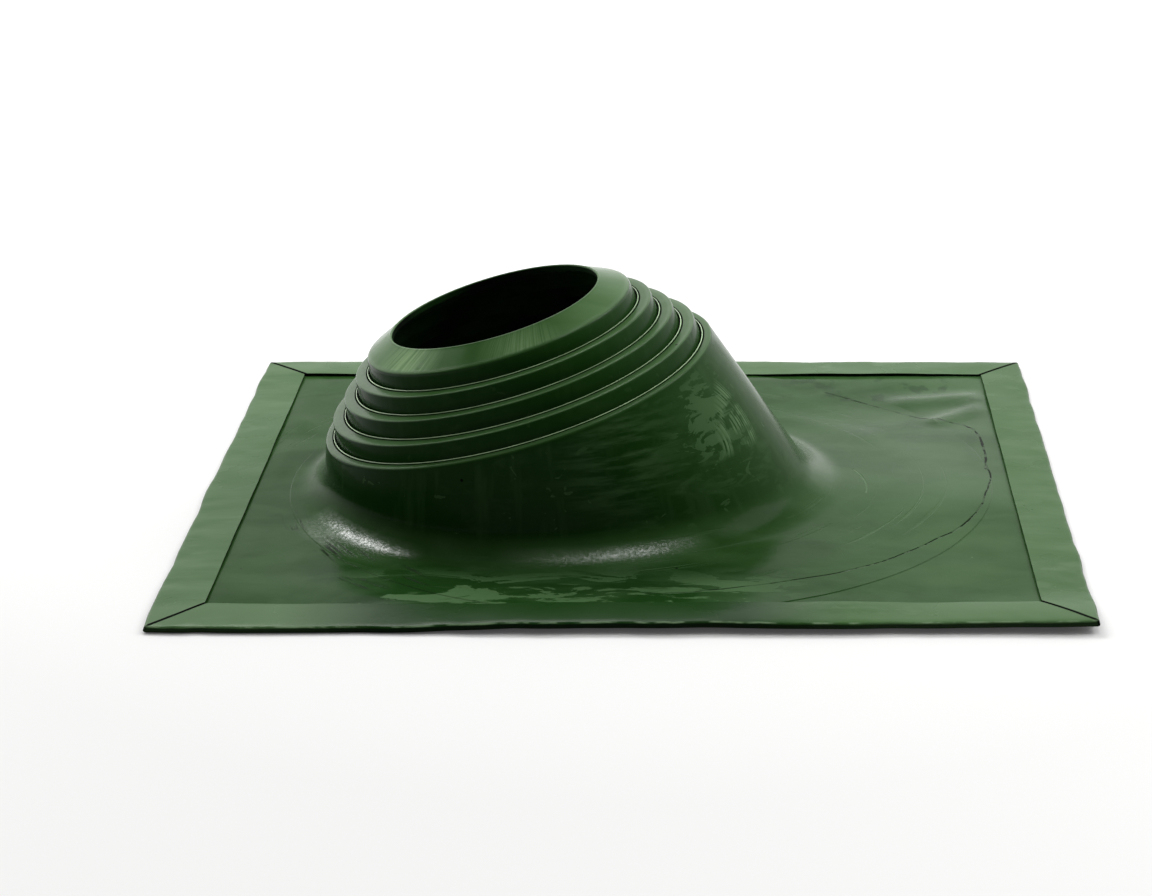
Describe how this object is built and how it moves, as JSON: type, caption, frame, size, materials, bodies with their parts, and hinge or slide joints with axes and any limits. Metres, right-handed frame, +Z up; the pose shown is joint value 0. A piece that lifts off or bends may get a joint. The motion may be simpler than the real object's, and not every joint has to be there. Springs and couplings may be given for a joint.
{
  "type": "pipe flashing boot",
  "caption": "Roof flashing boot for a round pipe: a stepped rubber cone that leans over an egg-footed hood, on a flat rectangular skirt hemmed in folded sheet metal.",
  "frame": {"origin": "centre of the base on its underside", "axes": "+X along the base's long side, towards the high side of the leaning cone; +Z up from the flat underside"},
  "size_m": [0.62, 0.53, 0.1583],
  "materials": {
    "green_rubber": "glossy moulded",
    "coated_sheet": "satin"
  },
  "bodies": {
    "root": {"rubber_boot": "green_rubber", "edge_frame": "coated_sheet"}
  },
  "joints": []
}
